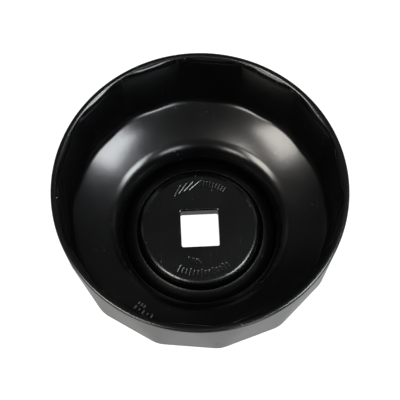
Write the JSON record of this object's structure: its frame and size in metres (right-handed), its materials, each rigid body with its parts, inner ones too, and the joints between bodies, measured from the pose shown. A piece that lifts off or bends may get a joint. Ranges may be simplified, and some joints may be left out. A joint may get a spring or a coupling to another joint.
{
  "type": "oil filter wrench",
  "caption": "Cap-type oil filter wrench: a black pressed-steel fluted cup, dished towards a hub that holds a plate with a square drive hole.",
  "frame": {"origin": "centre of the hub's flat underside, on the cup's axis", "axes": "+Z along the axis towards the open mouth; X and Y parallel to the sides of the drive square"},
  "size_m": [0.0718, 0.0718, 0.0348],
  "materials": {
    "cup_enamel": "gloss black baked enamel over pressed steel",
    "plate_enamel": "satin to gloss black baked enamel over steel plate",
    "weld_enamel": "black enamel over a weld bead"
  },
  "bodies": {
    "root": {"fluted_cup": "cup_enamel", "drive_plate": "plate_enamel", "weld_bead": "weld_enamel"}
  },
  "joints": []
}
